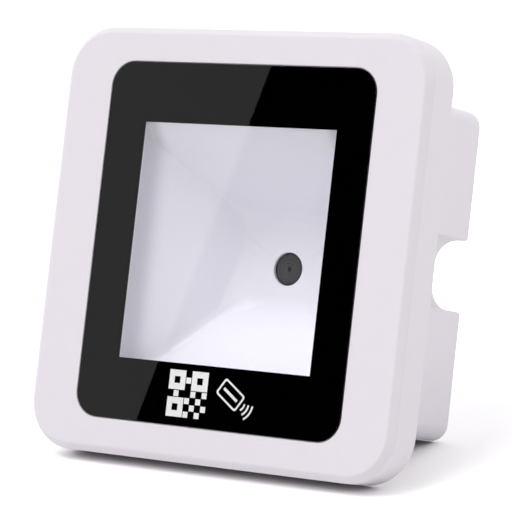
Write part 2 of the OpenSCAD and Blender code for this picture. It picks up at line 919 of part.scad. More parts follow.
module lens_mount() {
  color(chip_black)
    translate([0, 0, lens_z])
      difference() {
        block(0, 0, lens_mount_w, lens_mount_w, lens_mount_y, board_y);
        rod(barrel_d + 2 * barrel_play, lens_mount_y - over, shelf_y);
        block(0, 0, shelf_opening_w, shelf_opening_w, shelf_y - over, board_y);
        block(0, 0, sensor_w + 2 * fine_gap, sensor_w + 2 * fine_gap, shelf_y + shelf_t, board_y + over);
      }
}

module lens_barrel() {
  color(chip_black)
    translate([0, 0, lens_z])
      difference() {
        union() {
          rod(barrel_d, barrel_y, barrel_back_y);
          rod(lens_hole_d - 2 * nose_gap, nose_y, barrel_y + weld);
        }
        rod(stop_d, nose_y - over, rear_lens_y);
        rod(front_lens_d, stop_back_y, rear_lens_y + over);
        rod(rear_lens_d, rear_lens_y, barrel_back_y + over);
      }
}

// Radius of the sphere whose cap has the given diameter and height
function cap_r(d, bulge) = (d * d / 4 + bulge * bulge) / (2 * bulge);

// A lens whose flat side lies at y and whose edge and bulge point along dir
module plano_lens(d, t, bulge, y, dir) {
  r = cap_r(d, bulge);
  crown = y + dir * (t + bulge);
  intersection() {
    rod(d, min(y, crown), max(y, crown));
    translate([0, crown - dir * r, 0])
      sphere(r);
  }
}

module front_lens() {
  color([0.25, 0.27, 0.32, 0.6])
    translate([0, 0, lens_z])
      plano_lens(front_lens_d, front_lens_t, front_lens_bulge, front_lens_back_y, -1);
}

module rear_lens() {
  color([0.25, 0.27, 0.32, 0.6])
    translate([0, 0, lens_z])
      plano_lens(rear_lens_d, rear_lens_t, rear_lens_bulge, rear_lens_y, 1);
}

module filter_glass() {
  color([0.7, 0.85, 0.9, 0.5])
    translate([0, 0, lens_z])
      rod(barrel_d, filter_y, shelf_y);
}

module image_sensor() {
  color([0.2, 0.22, 0.2])
    block(0, lens_z, sensor_w, sensor_w, sensor_y, board_y);
}

module light_emitters() {
  color([0.95, 0.95, 0.75])
    translate([0, 0, lens_z])
      at_corners(emitter_x, emitter_x)
        block(0, 0, emitter_w, emitter_l, board_y - emitter_t, board_y);
}

module processor_chip() {
  color(chip_black)
    block(-chip_x, chip_top - processor_w / 2, processor_w, processor_w, board_y - chip_t, board_y);
}

module memory_chip() {
  color(chip_black)
    block(chip_x, chip_top - memory_l / 2, memory_w, memory_l, board_y - chip_t, board_y);
}

module radio_chip() {
  color(chip_black)
    block(chip_x, radio_w / 2 - chip_top, radio_w, radio_w, board_y - chip_t, board_y);
}

module clock_crystal() {
  color(steel)
    block(crystal_x, chip_top - crystal_w / 2, crystal_l, crystal_w, board_y - crystal_t, board_y);
}

module power_coil() {
  color([0.25, 0.25, 0.27])
    block(-chip_x, coil_w / 2 - chip_top, coil_w, coil_w, board_y - coil_t, board_y);
}

module capacitors() {
  color([0.75, 0.76, 0.78])
    for (k = [-1 : 1])
      translate([capacitor_x, 0, lens_z + k * (capacitor_d + capacitor_space)])
        rod(capacitor_d, board_y - capacitor_t, board_y);
}

module buzzer() {
  color(chip_black)
    translate([buzzer_x, 0, lens_z])
      difference() {
        rod(buzzer_d, board_y - buzzer_t, board_y);
        rod(sound_hole_d, board_y - buzzer_t - over, board_y - buzzer_t / 2);
      }
}

module at_pins() {
  for (k = [0 : pin_count - 1])
    translate([(k - (pin_count - 1) / 2) * pin_pitch, 0, socket_z])
      children();
}

module cable_socket() {
  color([0.93, 0.92, 0.88])
    difference() {
      block(0, socket_z, socket_w, socket_h, board_back_y, body_d);
      block(0, socket_z, socket_w - 2 * socket_wall, socket_h - 2 * socket_wall,
        board_back_y + socket_floor_t, body_d + over);
      at_pins()
        block(0, 0, pin_w, pin_w, board_back_y - over, body_d);
    }
}

module socket_pins() {
  color([0.85, 0.7, 0.3])
    at_pins()
      block(0, 0, pin_w, pin_w, board_back_y, board_back_y + socket_floor_t + pin_l);
}

front_bezel();
glass_panel();
border_print();
icon_print();
glass_tape();
window_gasket();
reflector();
reflector_screws();
rear_housing();
antenna_board();
antenna_coil();
antenna_ribbon();
antenna_socket();
main_board();
board_screws();
lens_mount();
lens_barrel();
front_lens();
rear_lens();
filter_glass();
image_sensor();
light_emitters();
processor_chip();
memory_chip();
radio_chip();
clock_crystal();
power_coil();
capacitors();
buzzer();
cable_socket();
socket_pins();
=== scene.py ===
import math
from types import SimpleNamespace

import bmesh
import bpy
from mathutils import Matrix, Quaternion, Vector


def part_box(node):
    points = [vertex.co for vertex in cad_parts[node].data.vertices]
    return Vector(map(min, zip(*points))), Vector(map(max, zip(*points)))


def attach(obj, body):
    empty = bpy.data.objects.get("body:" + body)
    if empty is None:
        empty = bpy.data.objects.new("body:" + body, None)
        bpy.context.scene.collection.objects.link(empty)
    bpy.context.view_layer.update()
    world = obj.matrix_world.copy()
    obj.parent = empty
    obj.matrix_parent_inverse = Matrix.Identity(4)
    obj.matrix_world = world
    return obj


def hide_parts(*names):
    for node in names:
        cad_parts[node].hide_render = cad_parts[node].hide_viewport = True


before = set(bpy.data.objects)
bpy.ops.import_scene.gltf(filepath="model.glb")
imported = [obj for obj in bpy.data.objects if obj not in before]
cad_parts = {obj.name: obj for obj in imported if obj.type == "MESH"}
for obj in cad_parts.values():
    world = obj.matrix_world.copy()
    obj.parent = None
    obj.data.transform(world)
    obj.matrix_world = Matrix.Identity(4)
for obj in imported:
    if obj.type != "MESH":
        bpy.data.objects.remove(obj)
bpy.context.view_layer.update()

bl_info = {
    "name": "Wall code reader",
    "version": (1, 0, 0),
    "blender": (4, 5, 0),
    "location": "3D View > Sidebar > Reader",
    "description": "Makes the looks of a wall-mounted code and card reader around its packed solids",
    "category": "Object",
}

MM = 0.001

# How finely the meshes are made. Distances are in millimetres.
CORNER_STEPS = 12
RING_STEPS = 64
HOLE_STEPS = 32
NECK_STEPS = 8
EDGE_STEPS = 3
THROAT_STEPS = 6
TUB_STEPS = 4
MERGE = 1e-4  # Points of a new mesh that are closer than this become one
PACKED_MERGE = 1e-3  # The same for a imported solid's mesh
NEAR = 0.01  # Points within this of a plane count as on it
SHARP_ANGLE = math.radians(38)  # Edges that turn more than this are shaded sharp
RIM_ANGLE = math.radians(60)  # Edges of the tub that turn more than this can be rounded
FLAT_ANGLE = math.radians(0.5)  # Faces that turn less than this are joined

# Small proportions and places inside the pieces. Lengths are in millimetres.
CUT_WIDTH = 0.32  # Width of the funnel's lower bevels as a share of their height
CUT_START = 0.8  # Where along the funnel's slope these bevels start to open
CUT_ROUND = 0.45  # Largest corner radius on a bevel as a share of its height
PAINTED_SHADE_ACROSS = (4.0, 0.4)  # Distances in from the funnel's side where its painted shade starts and is full
PAINTED_SHADE_ALONG = (4.0, -1.0)  # The same distances behind the funnel's neck
PRINT_SINK = 0.02  # How far the glass reaches into the print behind it
SOCKET_FRAME = Vector((1, 0, 1))  # Room around the cable socket in which no edge is rounded
RING_RADII = (2.75, 2.0, 1.25)  # Inner radii of the grooves in the barrel's nose
RING_WIDTH = 0.2
RING_DEPTH = 0.14
NOSE_SINK = 0.06  # How far the nose's face lies behind its edge
NOSE_EDGE = 0.25  # Bevel around the nose
CONE_RADIUS = 0.8  # Outer radius of the cone that leads to the aperture
CONE_DEPTH = 0.3
LENS_PLAY = 0.1  # Gap between the aperture's back and the front lens
TUB_INSET = 9.75  # How far the tub's walls stand in from the bezel's


def corners_of(node):
    """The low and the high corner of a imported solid's box, in millimetres."""
    return [Vector(corner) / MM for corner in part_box(node)]


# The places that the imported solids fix, in millimetres. X is across, Y runs into the wall and Z is up.
BEZEL_LOW, BEZEL_HIGH = corners_of("front_bezel")
GLASS_LOW, GLASS_HIGH = corners_of("glass_panel")
PRINT_LOW = corners_of("border_print")[0]
TAPE_HIGH = corners_of("glass_tape")[1]
GASKET_LOW, GASKET_HIGH = corners_of("window_gasket")
TUB_HIGH = corners_of("rear_housing")[1]
FUNNEL_LOW, FUNNEL_HIGH = corners_of("reflector")
FUNNEL_SCREW_LOW, FUNNEL_SCREW_HIGH = corners_of("reflector_screws")
BARREL_LOW, BARREL_HIGH = corners_of("lens_barrel")
LENS_LOW, LENS_HIGH = corners_of("front_lens")
REAR_LENS_LOW, REAR_LENS_HIGH = corners_of("rear_lens")
SOCKET_LOW, SOCKET_HIGH = corners_of("cable_socket")
LENS_Z = (BARREL_LOW.z + BARREL_HIGH.z) / 2


def length(name, description, millimetres):
    """A length in the panel, written in millimetres here."""
    return bpy.props.FloatProperty(
        name=name, description=description, default=millimetres * MM, min=0.0,
        unit="LENGTH", subtype="DISTANCE", precision=5)


def tint(name, description, colour):
    """A colour in the panel."""
    return bpy.props.FloatVectorProperty(
        name=name, description=description, default=colour, size=3, min=0.0, max=1.0, subtype="COLOR")


class ReaderSizes(bpy.types.PropertyGroup):
    """Sizes of the reader's visible pieces."""
    corner_radius: length("Bezel corner", "Radius of the bezel's corners", 10)
    chamfer: length("Bezel chamfer", "Width of the chamfer around the bezel's front edge", 1.3)
    chamfer_soft: length("Chamfer softness", "Rounding of the chamfer's two edges", 0.3)
    skirt_wall: length("Skirt wall", "Thickness of the bezel's skirt", 2.2)
    face_wall: length("Face wall", "Thickness of the bezel's face", 2.5)
    seat_wall: length("Seat wall", "Thickness of the wall around the glass seat", 1.6)
    ledge: length("Ledge", "Thickness of the ledge that carries the glass", 1.5)
    rim_soft: length("Rim softness", "Rounding of the glass recess and of the rim's inner edge", 0.18)
    back_soft: length("Back softness", "Rounding of the bezel's outer back edge", 0.4)
    hook_width: length("Hook width", "Width of each snap hook", 10)
    hook_place: length("Hook place", "Distance of the snap hooks from the middle", 22)
    hook_reach: length("Hook reach", "How far each snap hook reaches in from the skirt", 1)
    hook_tip: length("Hook tip", "Length of each snap hook's level tip", 0.5)
    hook_set: length("Hook set", "Distance of the snap hooks' backs from the wall plane", 0.1)
    hook_depth: length("Hook depth", "Distance of the snap hooks' fronts from the wall plane", 1.2)
    glass_corner: length("Glass corner", "Radius of the glass corners", 5)
    glass_gap: length("Glass gap", "Clearance around the glass", 0.15)
    glass_soft: length("Glass edge", "Rounding of the glass edges", 0.12)
    rim: length("Rim", "Width of the funnel's rim and thickness of its walls", 1.3)
    rim_gap: length("Rim gap", "Clearance around the funnel's rim in the bezel's seat", 0.4)
    straight: length("Straight part", "Length of the straight part of the funnel's sides", 3.3)
    lip: length("Lip", "How far the funnel's top comes down along the straight part", 4.1)
    neck_soft: length("Neck softness", "Rounding between the straight and the sloping part", 1.6)
    rise: length("Rise", "How far the funnel's bottom comes up along the straight part", 1.5)
    crease: length("Crease", "Radius between the funnel's sloping walls", 0.9)
    corner_cut: length("Corner cut", "Height of the bevel along the funnel's lower corners", 1.5)
    throat_cut: length("Throat cut", "Height of that bevel at the end plate", 11)
    throat_half: length("Throat half width", "Half the width of the funnel's end plate", 10.8)
    throat_top: length("Throat top", "Height of the end plate above the lens axis", 10.3)
    throat_bottom: length("Throat bottom", "Depth of the end plate below the lens axis", 7.4)
    throat_corner: length("Throat corner", "Radius of the end plate's corners", 2.6)
    throat_soft: length("Throat softness", "Rounding around the end plate", 1.8)
    end_plate: length("End plate", "Thickness of the funnel's end plate", 0.8)
    lens_hole: length("Lens hole", "Diameter of the hole in the end plate", 6.8)
    flange: length("Flange", "Thickness of the funnel's mounting flange", 1.4)
    flange_corner: length("Flange corner", "Radius of the flange's corners", 1.2)
    groove_half: length("Groove half height", "Half the height of the flange's side notches", 9.45)
    groove_floor: length("Groove floor", "Distance of the side notches' floors from the middle", 23.95)
    groove_round: length("Groove corner", "Radius of the side notches' corners", 6.9)
    ribbon_notch: length("Ribbon notch", "Width of the flange's notch for the ribbon", 7)
    notch_depth: length("Notch depth", "Depth of the flange's notch for the ribbon", 1.35)
    screw_hole: length("Screw hole", "Diameter of the flange's screw holes", 2.4)
    screw_head: length("Screw head", "Height of the small screws' heads", 1.4)
    screw_head_width: length("Screw head width", "Diameter of the small screws' heads", 3.8)
    tub_soft: length("Tub edge", "Rounding of the tub's rear and groove edges", 0.6)
    nose_gap: length("Nose gap", "Clearance around the barrel's nose in its hole", 0.2)
    nose_length: length("Nose length", "Length of the barrel's nose", 0.5)
    aperture: length("Aperture", "Diameter of the aperture in the barrel's nose", 0.9)


class ReaderColours(bpy.types.PropertyGroup):
    """Colours of the reader's finishes."""
    shell: tint("Shell", "White moulded shell", (0.845, 0.79, 0.855))
    funnel: tint("Funnel", "White funnel behind the window", (0.925, 0.905, 0.975))
    # Painted shade: this grey darkens the straight part of the funnel's sides near the window's rim, where
    # shade falls.
    funnel_painted_shade: tint("Funnel shade", "Greyer straight part of the funnel's sides", (0.66, 0.64, 0.70))
    glass: tint("Glass", "Clear front glass", (0.985, 0.99, 0.99))
    ink: tint("Border", "Black printed border", (0.0003, 0.0003, 0.0004))
    sign: tint("Signs", "White printed signs", (0.95, 0.95, 0.95))
    tape: tint("Tape", "Tape that holds the glass", (0.03, 0.03, 0.03))
    foam: tint("Foam", "Gasket between the funnel and the glass", (0.75, 0.75, 0.77))
    lens_black: tint("Lens black", "Black plastic of the camera and the sounder", (0.055, 0.057, 0.058))
    lens: tint("Lenses", "Coated lenses and the filter", (0.8, 0.85, 0.88))
    sensor: tint("Sensor", "Image sensor", (0.05, 0.06, 0.05))
    board: tint("Boards", "Solder mask of the circuit boards", (0.02, 0.12, 0.06))
    copper: tint("Copper", "Tracks of the antenna", (0.72, 0.38, 0.2))
    film: tint("Ribbon", "Film of the antenna's ribbon", (0.6, 0.3, 0.04))
    chip: tint("Chips", "Moulded chips", (0.03, 0.03, 0.032))
    steel: tint("Screws", "Plated screws", (0.55, 0.55, 0.57))
    can: tint("Cans", "Metal cans of the capacitors and the crystal", (0.65, 0.66, 0.68))
    socket: tint("Sockets", "Ivory sockets", (0.8, 0.78, 0.7))
    pin: tint("Pins", "Plated contact pins", (0.75, 0.58, 0.25))
    ferrite: tint("Ferrite", "Pressed core of the power coil", (0.06, 0.06, 0.065))
    emitter: tint("Emitters", "Light emitters", (0.85, 0.83, 0.5))
    floor: tint("Floor", "Plain floor under the reader", (0.9, 0.9, 0.9))


# The finishes: roughness, the size and the depth of the grain in metres, and what differs from a plain one.
PLAIN = dict(mottle=0.03, metallic=0.0, specular=0.5, coat=0.0)
FINISHES = {
    "shell_plastic": dict(roughness=0.55, grain=4e-4, depth=6e-6, mottle=0.01, specular=0.35),
    "funnel_plastic": dict(roughness=0.32, grain=4e-4, depth=4e-6, mottle=0.008),
    "border_ink": dict(roughness=0.6, grain=3e-4, depth=2e-6, mottle=0.2, specular=0.0),
    "sign_ink": dict(roughness=0.5, grain=3e-4, depth=2e-6, mottle=0.02, specular=0.1),
    "tape": dict(roughness=0.7, grain=4e-4, depth=2e-5),
    "foam": dict(roughness=0.9, grain=4e-4, depth=6e-5, mottle=0.06),
    "camera_black": dict(roughness=0.5, grain=2e-4, depth=4e-6, mottle=0.06),
    "sensor": dict(roughness=0.2, grain=2e-4, depth=1e-6, mottle=0.2, coat=0.5),
    "solder_mask": dict(roughness=0.35, grain=5e-4, depth=1e-5, mottle=0.12),
    "chip_moulding": dict(roughness=0.55, grain=2e-4, depth=8e-6, mottle=0.1),
    "screw_plating": dict(roughness=0.32, grain=3e-4, depth=4e-6, mottle=0.06, metallic=1.0),
    "metal_can": dict(roughness=0.3, grain=4e-4, depth=4e-6, mottle=0.05, metallic=1.0),
    "ivory_plastic": dict(roughness=0.4, grain=3e-4, depth=6e-6),
    "pin_plating": dict(roughness=0.28, grain=3e-4, depth=3e-6, mottle=0.06, metallic=1.0),
    "copper_track": dict(roughness=0.35, grain=3e-4, depth=4e-6, mottle=0.1, metallic=1.0),
    "ribbon_film": dict(roughness=0.3, grain=6e-4, depth=4e-6, mottle=0.08),
    "ferrite": dict(roughness=0.7, grain=3e-4, depth=2e-5, mottle=0.15),
    "emitter": dict(roughness=0.35, grain=3e-4, depth=4e-6, mottle=0.05),
    "floor_paper": dict(roughness=0.9, grain=2e-3, depth=1e-6, mottle=0.002, specular=0.0),
}
CLOUD_SCALE = 0.12  # Scale of a finish's clouds against its grain
CLOUD_DETAIL = 3.0
GRAIN_DETAIL = 2.0
GRAIN_STRENGTH = 0.5
GLOSS_SPREAD = 0.12  # How far the roughness varies to both sides, as a share of it
GLASS_CLOUDS = 120.0  # Scale of the clouds in the glass tint
GLASS_CLOUD_TINT = 0.995  # The tint in a cloud as a share of the tint
GLASS_INDEX = 1.42
LENS_INDEX = 2.6


def in_millimetres(context):
    """The panel's sizes in millimetres, in which the meshes are made."""
    group = context.scene.reader_sizes
    return SimpleNamespace(**{name: getattr(group, name) / MM for name in ReaderSizes.__annotations__})


def graph(name):
    """A new material with its node tree and its shader."""
    material = bpy.data.materials.new(name)
    material.use_nodes = True
    tree = material.node_tree
    return material, tree, tree.nodes["Principled BSDF"]


def noise(tree, place, scale, detail):
    """The value of a noise on the piece's own coordinates."""
    texture = tree.nodes.new("ShaderNodeTexNoise")
    texture.inputs["Scale"].default_value = scale
    texture.inputs["Detail"].default_value = detail
    tree.links.new(place.outputs["Object"], texture.inputs["Vector"])
    return texture.outputs["Fac"]


def blend(tree, factor, first, second):
    """A node that mixes two colours by a factor."""
    mix = tree.nodes.new("ShaderNodeMix")
    mix.data_type = "RGBA"
    mix.inputs["A"].default_value = (*first, 1)
    mix.inputs["B"].default_value = (*second, 1)
    tree.links.new(factor, mix.inputs["Factor"])
    return mix


def shader_mix(tree, factor, first, second):
    """The mix of two shaders by a factor."""
    mix = tree.nodes.new("ShaderNodeMixShader")
    tree.links.new(factor, mix.inputs["Fac"])
    tree.links.new(first, mix.inputs[1])
    tree.links.new(second, mix.inputs[2])
    return mix.outputs["Shader"]


def finish(name, colour):
    """A procedural finish: slightly mottled colour, uneven gloss and a fine grain."""
    look = SimpleNamespace(**{**PLAIN, **FINISHES[name]})
    material, tree, shader = graph(name)
    place = tree.nodes.new("ShaderNodeTexCoord")
    deep = [c * (1 - look.mottle) for c in colour]
    pale = [min(c * (1 + look.mottle), 1) for c in colour]
    mix = blend(tree, noise(tree, place, CLOUD_SCALE / look.grain, CLOUD_DETAIL), deep, pale)
    tree.links.new(mix.outputs["Result"], shader.inputs["Base Color"])
    grain = noise(tree, place, 1 / look.grain, GRAIN_DETAIL)
    gloss = tree.nodes.new("ShaderNodeMapRange")
    gloss.inputs["To Min"].default_value = look.roughness * (1 - GLOSS_SPREAD)
    gloss.inputs["To Max"].default_value = min(look.roughness * (1 + GLOSS_SPREAD), 1.0)
    tree.links.new(grain, gloss.inputs["Value"])
    tree.links.new(gloss.outputs["Result"], shader.inputs["Roughness"])
    bump = tree.nodes.new("ShaderNodeBump")
    bump.inputs["Strength"].default_value = GRAIN_STRENGTH
    bump.inputs["Distance"].default_value = look.depth
    tree.links.new(grain, bump.inputs["Height"])
    tree.links.new(bump.outputs["Normal"], shader.inputs["Normal"])
    shader.inputs["Metallic"].default_value = look.metallic
    shader.inputs["Specular IOR Level"].default_value = look.specular
    shader.inputs["Coat Weight"].default_value = look.coat
    return material


def shell_finish(colours):
    """The white moulded plastic of the bezel and the tub, made once."""
    return bpy.data.materials.get("shell_plastic") or finish("shell_plastic", colours.shell)


def clear(name, colour, index):
    """Clear smooth glass that lets the lamps through, with a faint cloud in its tint."""
    material, tree, shader = graph(name)
    shader.inputs["Roughness"].default_value = 0.0
    shader.inputs["Transmission Weight"].default_value = 1.0
    shader.inputs["IOR"].default_value = index
    clouds = noise(tree, tree.nodes.new("ShaderNodeTexCoord"), GLASS_CLOUDS, GRAIN_DETAIL)
    mix = blend(tree, clouds, [c * GLASS_CLOUD_TINT for c in colour], colour)
    tree.links.new(mix.outputs["Result"], shader.inputs["Base Color"])
    # A lamp's ray crosses two faces of the glass, so each of them takes the square root of the tint.
    through = tree.nodes.new("ShaderNodeBsdfTransparent")
    through.inputs["Color"].default_value = (*[math.sqrt(c) for c in colour], 1)
    light = tree.nodes.new("ShaderNodeLightPath")
    lit = shader_mix(tree, light.outputs["Is Shadow Ray"], shader.outputs["BSDF"], through.outputs["BSDF"])
    tree.links.new(lit, tree.nodes["Material Output"].inputs["Surface"])
    return material


def dress(material, *nodes):
    """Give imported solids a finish."""
    for node in nodes:
        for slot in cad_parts[node].material_slots:
            slot.material = material


def outline_loop(bm, places, y):
    """A closed loop of edges at one depth through places of x, z and the radius of the corner there."""
    old_edges, old_faces = set(bm.edges), set(bm.faces)
    points = [bm.verts.new((x, y, z)) for x, z, radius in places]
    bm.faces.new(points)
    for size in {radius for x, z, radius in places if radius}:
        corners = [v for v, (x, z, radius) in zip(points, places) if radius == size]
        bmesh.ops.bevel(
            bm, geom=corners, offset=size, segments=CORNER_STEPS, profile=0.5, affect="VERTICES", material=-1)
    bmesh.ops.delete(bm, geom=[f for f in bm.faces if f not in old_faces], context="FACES_ONLY")
    return [e for e in bm.edges if e not in old_edges]


def rounded_loop(bm, half_width, bottom, top, bottom_radius, top_radius, y):
    """A closed loop of edges: a rectangle with rounded corners at one depth."""
    return outline_loop(bm, (
        (-half_width, bottom, bottom_radius), (half_width, bottom, bottom_radius),
        (half_width, top, top_radius), (-half_width, top, top_radius)), y)


def square_loop(bm, half_width, half_height, radius, y):
    """A rounded loop that is alike above and below the middle."""
    return rounded_loop(bm, half_width, -half_height, half_height, radius, radius, y)


def cut_loop(bm, half_width, bottom, top, cut, radius, y):
    """A closed loop of edges: a rectangle with rounded upper corners and bevelled lower ones."""
    low = min(radius, cut * CUT_ROUND)
    right = [
        (half_width - cut * CUT_WIDTH, bottom, low), (half_width, bottom + cut, low),
        (half_width, top, radius)]
    return outline_loop(bm, right + [(-x, z, r) for x, z, r in reversed(right)], y)


def round_loop(bm, radius, y, z, points):
    """A closed loop of edges: a circle at one depth, with an even number of points."""
    turn = Matrix.Rotation(math.pi / 2, 4, "X") @ Matrix.Rotation(math.pi / points + math.pi / 2, 4, "Z")
    made = bmesh.ops.create_circle(
        bm, segments=points, radius=radius, matrix=Matrix.Translation((0, y, z)) @ turn)
    return list({e for v in made["verts"] for e in v.link_edges})


def around(loop):
    """The points of a loop in order, from its top left one to the left and around."""
    links = {}
    for edge in loop:
        for point in edge.verts:
            links.setdefault(point, []).append(edge.other_vert(point))
    start = max(links, key=lambda v: (round(v.co.z, 3), -v.co.x))
    points, after = [start], min(links[start], key=lambda v: v.co.x)
    while after != start:
        before, here = points[-1], after
        points.append(here)
        after = next(v for v in links[here] if v != before)
    return points


def bridge(bm, loops, closed=False):
    """Faces from each loop to the next, which has as many points.

    The loops are paired from their top left points, because the bridge operator twists some of them.
    """
    rings = [around(loop) for loop in loops]
    for first, second in zip(rings, rings[1:] + (rings[:1] if closed else [])):
        for k in range(len(first)):
            bm.faces.new((first[k - 1], first[k], second[k], second[k - 1]))


def soften(bm, edges, radius, segments=EDGE_STEPS):
    """Round off edges."""
    bmesh.ops.bevel(
        bm, geom=edges, offset=radius, segments=segments, profile=0.5, affect="EDGES", material=-1,
        clamp_overlap=True)


def lathe(bm, profile):
    """Turn a closed outline of radius and depth around the lens axis."""
    points = [bm.verts.new((radius, y, LENS_Z)) for radius, y in profile]
    edges = [bm.edges.new(pair) for pair in zip(points, points[1:] + points[:1])]
    bmesh.ops.spin(
        bm, geom=points + edges, cent=(0, 0, LENS_Z), axis=(0, 1, 0), dvec=(0, 0, 0), angle=2 * math.pi,
        steps=RING_STEPS, use_merge=True, use_duplicate=False)
    bmesh.ops.remove_doubles(bm, verts=bm.verts, dist=MERGE)


def put(bm, name, material):
    """Put a mesh into the scene as a new object."""
    mesh = bpy.data.meshes.new(name)
    bm.to_mesh(mesh)
    bm.free()
    mesh.materials.append(material)
    made = bpy.data.objects.new(name, mesh)
    bpy.context.scene.collection.objects.link(made)
    return made


def settle(bm, name, material, replaced):
    """Turn a finished mesh into a piece that rides on the reader."""
    bmesh.ops.remove_doubles(bm, verts=bm.verts, dist=MERGE)
    bmesh.ops.recalc_face_normals(bm, faces=bm.faces)
    bmesh.ops.scale(bm, vec=Vector((MM, MM, MM)), verts=bm.verts)
    for face in bm.faces:
        face.smooth = True
    for edge in bm.edges:
        edge.smooth = edge.is_manifold and edge.calc_face_angle() < SHARP_ANGLE
    piece = put(bm, name, material)
    normals = piece.modifiers.new("Even shading", "WEIGHTED_NORMAL")
    normals.keep_sharp = True
    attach(piece, "root")
    for node in replaced:
        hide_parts(node)


class READER_OT_bezel(bpy.types.Operator):
    """Make the moulded front bezel with its chamfer, glass seat, skirt and snap hooks"""
    bl_idname = "reader.make_bezel"
    bl_label = "Make bezel"

    def execute(self, context):
        s, c = in_millimetres(context), context.scene.reader_colours
        half_w, half_h = BEZEL_HIGH.x, BEZEL_HIGH.z
        front, wall = BEZEL_LOW.y, BEZEL_HIGH.y
        inner_w, inner_h = half_w - s.skirt_wall, half_h - s.skirt_wall
        recess_w, recess_h = GLASS_HIGH.x + s.glass_gap, GLASS_HIGH.z + s.glass_gap
        recess_r = s.glass_corner + s.glass_gap
        ledge_front, face_back = TAPE_HIGH.y, front + s.face_wall
        ledge_back = ledge_front + s.ledge
        opening = (GASKET_HIGH.x + s.rim_gap, GASKET_LOW.z - s.rim_gap, GASKET_HIGH.z + s.rim_gap)
        seat_w, seat_h = recess_w + s.seat_wall, recess_h + s.seat_wall
        bm = bmesh.new()
        rim = square_loop(bm, half_w, half_h, s.corner_radius, wall)
        side = square_loop(bm, half_w, half_h, s.corner_radius, front + s.chamfer)
        face = square_loop(bm, half_w - s.chamfer, half_h - s.chamfer, s.corner_radius - s.chamfer, front)
        recess = square_loop(bm, recess_w, recess_h, recess_r, front)
        floor = square_loop(bm, recess_w, recess_h, recess_r, ledge_front)
        hole = rounded_loop(bm, *opening, s.rim_soft, s.rim_soft, ledge_front)
        hole_back = rounded_loop(bm, *opening, s.rim_soft, s.rim_soft, ledge_back)
        seat_back = square_loop(bm, seat_w, seat_h, recess_r + s.seat_wall, ledge_back)
        seat = square_loop(bm, seat_w, seat_h, recess_r + s.seat_wall, face_back)
        inside = square_loop(bm, inner_w, inner_h, s.corner_radius - s.skirt_wall, face_back)
        inner_rim = square_loop(bm, inner_w, inner_h, s.corner_radius - s.skirt_wall, wall)
        bridge(bm, [
            rim, side, face, recess, floor, hole, hole_back, seat_back, seat, inside, inner_rim], closed=True)
        soften(bm, side + face, s.chamfer_soft)
        soften(bm, rim, s.back_soft)
        soften(bm, recess + inner_rim, s.rim_soft)
        tip, root = inner_h - s.hook_reach, inner_h + s.rim_soft
        hook = (
            (-s.hook_depth, tip), (s.hook_tip - s.hook_depth, tip),
            (-s.hook_set, root), (-s.hook_depth, root))
        for x in (-s.hook_place, s.hook_place):
            for side_z in (-1, 1):
                start = x - s.hook_width / 2
                end = bm.faces.new([bm.verts.new((start, wall + y, side_z * z)) for y, z in hook])
                grown = bmesh.ops.extrude_face_region(bm, geom=[end])["geom"]
                far = [v for v in grown if isinstance(v, bmesh.types.BMVert)]
                bmesh.ops.translate(bm, vec=(s.hook_width, 0, 0), verts=far)
        settle(bm, "bezel_shell", shell_finish(c), ["front_bezel"])
        return {"FINISHED"}


class READER_OT_glass(bpy.types.Operator):
    """Make the front glass, and give its print, tape and gasket their finishes"""
    bl_idname = "reader.make_glass"
    bl_label = "Make glass"

    def execute(self, context):
        s, c = in_millimetres(context), context.scene.reader_colours
        depths = (GLASS_LOW.y, PRINT_LOW.y + PRINT_SINK)
        bm = bmesh.new()
        loops = [square_loop(bm, GLASS_HIGH.x, GLASS_HIGH.z, s.glass_corner, y) for y in depths]
        bridge(bm, loops)
        for loop in loops:
            bmesh.ops.edgeloop_fill(bm, edges=loop)
        soften(bm, loops[0], s.glass_soft)
        settle(bm, "glass_pane", clear("front_glass", c.glass, GLASS_INDEX), ["glass_panel"])
        dress(finish("border_ink", c.ink), "border_print")
        dress(finish("sign_ink", c.sign), "icon_print")
        dress(finish("tape", c.tape), "glass_tape")
        dress(finish("foam", c.foam), "window_gasket")
        return {"FINISHED"}


